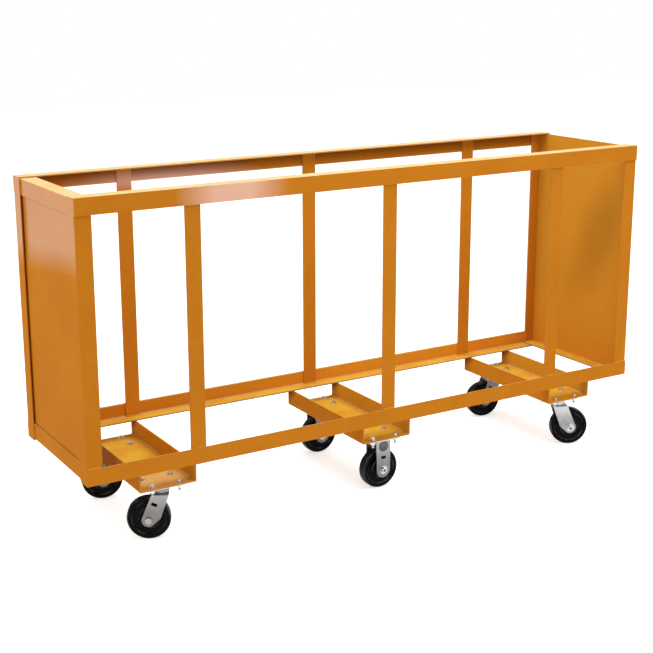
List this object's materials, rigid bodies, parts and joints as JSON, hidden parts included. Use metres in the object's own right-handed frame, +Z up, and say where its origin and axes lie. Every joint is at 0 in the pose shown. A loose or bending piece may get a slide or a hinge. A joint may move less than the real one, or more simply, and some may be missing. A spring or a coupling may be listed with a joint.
{
  "type": "upright pipe cart",
  "caption": "Tall open-topped cart for pipe and bar: welded angle-iron frame with sheet end panels, on channel crossmembers with swivel casters at the corners and rigid casters at mid-length.",
  "frame": {"origin": "on the floor, under the middle of the cart", "axes": "+X along the cart towards the right end, +Y towards the rear, +Z up"},
  "size_m": [3.13, 0.765, 1.6122],
  "materials": {
    "enamel": "glossy orange-yellow enamel over welded steel",
    "zinc": "bright zinc plating",
    "phenolic": "smooth black phenolic",
    "bearing_steel": "oiled bearing steel"
  },
  "bodies": {
    "frame": {"top_rail_front": "enamel", "top_rail_rear": "enamel", "top_rail_left": "enamel", "top_rail_right": "enamel", "bottom_rail_front": "enamel", "bottom_rail_rear": "enamel", "bottom_rail_left": "enamel", "bottom_rail_right": "enamel", "corner_post_front_left": "enamel", "corner_post_front_right": "enamel", "corner_post_rear_left": "enamel", "corner_post_rear_right": "enamel", "upright_front_left": "enamel", "upright_front_middle": "enamel", "upright_front_right": "enamel", "upright_rear_left": "enamel", "upright_rear_middle": "enamel", "upright_rear_right": "enamel", "end_panel_left": "enamel", "end_panel_right": "enamel", "crossmember_left": "enamel", "crossmember_middle": "enamel", "crossmember_right": "enamel", "caster_plate_front_left": "zinc", "caster_plate_front_right": "zinc", "caster_plate_rear_left": "zinc", "caster_plate_rear_right": "zinc", "caster_plate_front_middle": "zinc", "caster_plate_rear_middle": "zinc", "caster_fork_front_middle": "zinc", "caster_fork_rear_middle": "zinc", "axle_bolt_front_middle": "zinc", "axle_bolt_rear_middle": "zinc"},
    "swivel_front_left": {"swivel_race_front_left": "zinc", "caster_fork_front_left": "zinc", "axle_bolt_front_left": "zinc"},
    "swivel_front_right": {"swivel_race_front_right": "zinc", "caster_fork_front_right": "zinc", "axle_bolt_front_right": "zinc"},
    "swivel_rear_left": {"swivel_race_rear_left": "zinc", "caster_fork_rear_left": "zinc", "axle_bolt_rear_left": "zinc"},
    "swivel_rear_right": {"swivel_race_rear_right": "zinc", "caster_fork_rear_right": "zinc", "axle_bolt_rear_right": "zinc"},
    "wheel_front_left": {"caster_wheel_front_left": "phenolic", "wheel_bearing_front_left": "bearing_steel"},
    "wheel_front_right": {"caster_wheel_front_right": "phenolic", "wheel_bearing_front_right": "bearing_steel"},
    "wheel_rear_left": {"caster_wheel_rear_left": "phenolic", "wheel_bearing_rear_left": "bearing_steel"},
    "wheel_rear_right": {"caster_wheel_rear_right": "phenolic", "wheel_bearing_rear_right": "bearing_steel"},
    "wheel_front_middle": {"caster_wheel_front_middle": "phenolic", "wheel_bearing_front_middle": "bearing_steel"},
    "wheel_rear_middle": {"caster_wheel_rear_middle": "phenolic", "wheel_bearing_rear_middle": "bearing_steel"}
  },
  "joints": [
    {"name": "swivel_turn_front_left", "type": "hinge", "parent": "frame", "child": "swivel_front_left", "pos_m": [-1.177, -0.2845, 0.22506], "axis": [0, 0, 1], "continuous": true},
    {"name": "swivel_turn_front_right", "type": "hinge", "parent": "frame", "child": "swivel_front_right", "pos_m": [1.177, -0.2845, 0.22506], "axis": [0, 0, 1], "continuous": true},
    {"name": "swivel_turn_rear_left", "type": "hinge", "parent": "frame", "child": "swivel_rear_left", "pos_m": [-1.177, 0.2845, 0.22506], "axis": [0, 0, 1], "continuous": true},
    {"name": "swivel_turn_rear_right", "type": "hinge", "parent": "frame", "child": "swivel_rear_right", "pos_m": [1.177, 0.2845, 0.22506], "axis": [0, 0, 1], "continuous": true},
    {"name": "wheel_roll_front_left", "type": "hinge", "parent": "swivel_front_left", "child": "wheel_front_left", "pos_m": [-1.22998, -0.25633, 0.10111], "axis": [-0.4695, -0.8829, 0], "continuous": true},
    {"name": "wheel_roll_front_right", "type": "hinge", "parent": "swivel_front_right", "child": "wheel_front_right", "pos_m": [1.23046, -0.31174, 0.10111], "axis": [0.454, 0.891, 0], "continuous": true},
    {"name": "wheel_roll_rear_left", "type": "hinge", "parent": "swivel_rear_left", "child": "wheel_rear_left", "pos_m": [-1.23569, 0.29697, 0.10111], "axis": [-0.2079, -0.9781, 0], "continuous": true},
    {"name": "wheel_roll_rear_right", "type": "hinge", "parent": "swivel_rear_right", "child": "wheel_rear_right", "pos_m": [1.11791, 0.29492, 0.10111], "axis": [-0.1736, -0.9848, 0], "continuous": true},
    {"name": "wheel_roll_front_middle", "type": "hinge", "parent": "frame", "child": "wheel_front_middle", "pos_m": [0, -0.2895, 0.10111], "axis": [0, 1, 0], "continuous": true},
    {"name": "wheel_roll_rear_middle", "type": "hinge", "parent": "frame", "child": "wheel_rear_middle", "pos_m": [0, 0.2895, 0.10111], "axis": [0, 1, 0], "continuous": true}
  ]
}
